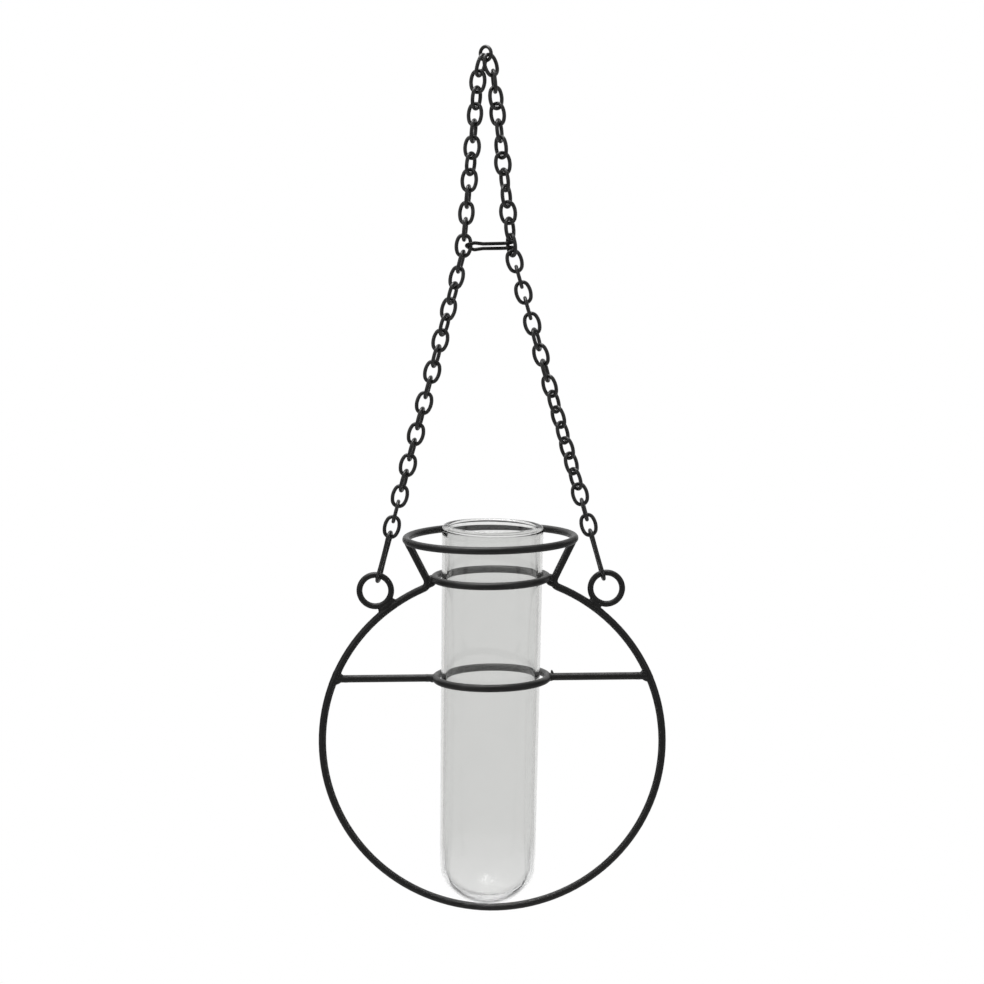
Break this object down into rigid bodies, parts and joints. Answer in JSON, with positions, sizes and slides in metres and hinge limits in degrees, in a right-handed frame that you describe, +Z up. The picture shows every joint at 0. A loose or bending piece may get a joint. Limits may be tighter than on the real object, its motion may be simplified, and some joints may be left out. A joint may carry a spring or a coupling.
{
  "type": "hanging wall vase",
  "caption": "Glass tube vase standing in a round bent-wire frame with a flared wire rim, hung by a looped link chain from a hook on a wall.",
  "frame": {"origin": "where a wall hook bears, at the inside top of the hanger ring", "axes": "+Z up along the hanging line, +Y towards the wall, +X to the right seen from the front"},
  "size_m": [0.139, 0.0698, 0.345],
  "materials": {
    "frame_black": "satin black powder coat on steel wire",
    "chain_black": "satin black coated steel chain",
    "tie_black": "black coated tie wire",
    "clear_glass": "clear polished glass"
  },
  "bodies": {
    "hanger": {"hanger_ring": "chain_black"},
    "row_01": {"chain_row_01": "chain_black"},
    "row_02": {"chain_row_02": "chain_black"},
    "row_03": {"chain_row_03": "chain_black"},
    "row_04": {"chain_row_04": "chain_black"},
    "row_05": {"chain_row_05": "chain_black"},
    "row_06": {"chain_row_06": "chain_black"},
    "row_07": {"chain_row_07": "chain_black"},
    "row_08": {"chain_row_08": "chain_black"},
    "row_09": {"chain_row_09": "chain_black"},
    "row_10": {"chain_row_10": "chain_black"},
    "row_11": {"chain_row_11": "chain_black"},
    "row_12": {"chain_row_12": "chain_black", "tie_wire": "tie_black"},
    "row_13": {"chain_row_13": "chain_black"},
    "row_14": {"chain_row_14": "chain_black"},
    "row_15": {"chain_row_15": "chain_black"},
    "row_16": {"chain_row_16": "chain_black"},
    "row_17": {"chain_row_17": "chain_black"},
    "row_18": {"chain_row_18": "chain_black"},
    "row_19": {"chain_row_19": "chain_black"},
    "row_20": {"chain_row_20": "chain_black"},
    "row_21": {"chain_row_21": "chain_black"},
    "row_22": {"chain_row_22": "chain_black"},
    "row_23": {"chain_row_23": "chain_black"},
    "row_24": {"chain_row_24": "chain_black"},
    "row_25": {"chain_row_25": "chain_black"},
    "row_26": {"chain_row_26": "chain_black"},
    "row_27": {"chain_row_27": "chain_black"},
    "row_28": {"chain_row_28": "chain_black"},
    "row_29": {"chain_row_29": "chain_black"},
    "row_30": {"chain_row_30": "chain_black"},
    "connectors": {"connector_links": "chain_black"},
    "frame": {"outline_wire": "frame_black", "rim_ring": "frame_black", "neck_ring": "frame_black", "tube_ring": "frame_black", "crossbar_left": "frame_black", "crossbar_right": "frame_black", "eyelet_left": "frame_black", "eyelet_right": "frame_black"},
    "tube": {"glass_tube": "clear_glass"}
  },
  "joints": [
    {"name": "hanger_swing", "type": "hinge", "parent": "hanger", "child": "row_01", "pos_m": [0, 0, -0.002], "axis": [0.6428, 0.766, 0], "range_deg": [-30, 30]},
    {"name": "row_02_fold", "type": "hinge", "parent": "row_01", "child": "row_02", "pos_m": [0, 0, -0.00945], "axis": [1, 0, 0], "range_deg": [-16, 16]},
    {"name": "row_03_fold", "type": "hinge", "parent": "row_02", "child": "row_03", "pos_m": [0, 0, -0.01579], "axis": [-1, 0, 0], "range_deg": [-16, 16]},
    {"name": "row_04_fold", "type": "hinge", "parent": "row_03", "child": "row_04", "pos_m": [0, 0, -0.02213], "axis": [1, 0, 0], "range_deg": [-16, 16]},
    {"name": "row_05_fold", "type": "hinge", "parent": "row_04", "child": "row_05", "pos_m": [0, 0, -0.02847], "axis": [-1, 0, 0], "range_deg": [-16, 16]},
    {"name": "row_06_fold", "type": "hinge", "parent": "row_05", "child": "row_06", "pos_m": [0, 0, -0.03481], "axis": [1, 0, 0], "range_deg": [-16, 16]},
    {"name": "row_07_fold", "type": "hinge", "parent": "row_06", "child": "row_07", "pos_m": [0, 0, -0.04115], "axis": [-1, 0, 0], "range_deg": [-16, 16]},
    {"name": "row_08_fold", "type": "hinge", "parent": "row_07", "child": "row_08", "pos_m": [0, 0, -0.04748], "axis": [1, 0, 0], "range_deg": [-16, 16]},
    {"name": "row_09_fold", "type": "hinge", "parent": "row_08", "child": "row_09", "pos_m": [0, 0, -0.05382], "axis": [-1, 0, 0], "range_deg": [-16, 16]},
    {"name": "row_10_fold", "type": "hinge", "parent": "row_09", "child": "row_10", "pos_m": [0, 0, -0.06016], "axis": [1, 0, 0], "range_deg": [-16, 16]},
    {"name": "row_11_fold", "type": "hinge", "parent": "row_10", "child": "row_11", "pos_m": [0, 0, -0.0665], "axis": [-1, 0, 0], "range_deg": [-16, 16]},
    {"name": "row_12_fold", "type": "hinge", "parent": "row_11", "child": "row_12", "pos_m": [0, 0, -0.07284], "axis": [1, 0, 0], "range_deg": [-16, 16]},
    {"name": "row_13_fold", "type": "hinge", "parent": "row_12", "child": "row_13", "pos_m": [0, 0, -0.07918], "axis": [-1, 0, 0], "range_deg": [-16, 16]},
    {"name": "row_14_fold", "type": "hinge", "parent": "row_13", "child": "row_14", "pos_m": [0, 0, -0.08533], "axis": [1, 0, 0], "range_deg": [-16, 16]},
    {"name": "row_15_fold", "type": "hinge", "parent": "row_14", "child": "row_15", "pos_m": [0, 0, -0.09148], "axis": [-1, 0, 0], "range_deg": [-16, 16]},
    {"name": "row_16_fold", "type": "hinge", "parent": "row_15", "child": "row_16", "pos_m": [0, 0, -0.09762], "axis": [1, 0, 0], "range_deg": [-16, 16]},
    {"name": "row_17_fold", "type": "hinge", "parent": "row_16", "child": "row_17", "pos_m": [0, 0, -0.10377], "axis": [-1, 0, 0], "range_deg": [-16, 16]},
    {"name": "row_18_fold", "type": "hinge", "parent": "row_17", "child": "row_18", "pos_m": [0, 0, -0.10991], "axis": [1, 0, 0], "range_deg": [-16, 16]},
    {"name": "row_19_fold", "type": "hinge", "parent": "row_18", "child": "row_19", "pos_m": [0, 0, -0.11606], "axis": [-1, 0, 0], "range_deg": [-16, 16]},
    {"name": "row_20_fold", "type": "hinge", "parent": "row_19", "child": "row_20", "pos_m": [0, 0, -0.12221], "axis": [1, 0, 0], "range_deg": [-16, 16]},
    {"name": "row_21_fold", "type": "hinge", "parent": "row_20", "child": "row_21", "pos_m": [0, 0, -0.12835], "axis": [-1, 0, 0], "range_deg": [-16, 16]},
    {"name": "row_22_fold", "type": "hinge", "parent": "row_21", "child": "row_22", "pos_m": [0, 0, -0.1345], "axis": [1, 0, 0], "range_deg": [-16, 16]},
    {"name": "row_23_fold", "type": "hinge", "parent": "row_22", "child": "row_23", "pos_m": [0, 0, -0.14065], "axis": [-1, 0, 0], "range_deg": [-16, 16]},
    {"name": "row_24_fold", "type": "hinge", "parent": "row_23", "child": "row_24", "pos_m": [0, 0, -0.14679], "axis": [1, 0, 0], "range_deg": [-16, 16]},
    {"name": "row_25_fold", "type": "hinge", "parent": "row_24", "child": "row_25", "pos_m": [0, 0, -0.15294], "axis": [-1, 0, 0], "range_deg": [-16, 16]},
    {"name": "row_26_fold", "type": "hinge", "parent": "row_25", "child": "row_26", "pos_m": [0, 0, -0.15909], "axis": [1, 0, 0], "range_deg": [-16, 16]},
    {"name": "row_27_fold", "type": "hinge", "parent": "row_26", "child": "row_27", "pos_m": [0, 0, -0.16523], "axis": [-1, 0, 0], "range_deg": [-16, 16]},
    {"name": "row_28_fold", "type": "hinge", "parent": "row_27", "child": "row_28", "pos_m": [0, 0, -0.17138], "axis": [1, 0, 0], "range_deg": [-16, 16]},
    {"name": "row_29_fold", "type": "hinge", "parent": "row_28", "child": "row_29", "pos_m": [0, 0, -0.17752], "axis": [-1, 0, 0], "range_deg": [-16, 16]},
    {"name": "row_30_fold", "type": "hinge", "parent": "row_29", "child": "row_30", "pos_m": [0, 0, -0.18367], "axis": [1, 0, 0], "range_deg": [-16, 16]},
    {"name": "connector_fold", "type": "hinge", "parent": "row_30", "child": "connectors", "pos_m": [0, 0, -0.19076], "axis": [-1, 0, 0], "range_deg": [-60, 60]},
    {"name": "frame_tilt", "type": "hinge", "parent": "connectors", "child": "frame", "pos_m": [0, 0, -0.20615], "axis": [1, 0, 0], "range_deg": [-60, 60]},
    {"name": "tube_lift", "type": "slide", "parent": "frame", "child": "tube", "axis": [0.0247, 0, 0.9997], "range_m": [0, 0.044]}
  ]
}
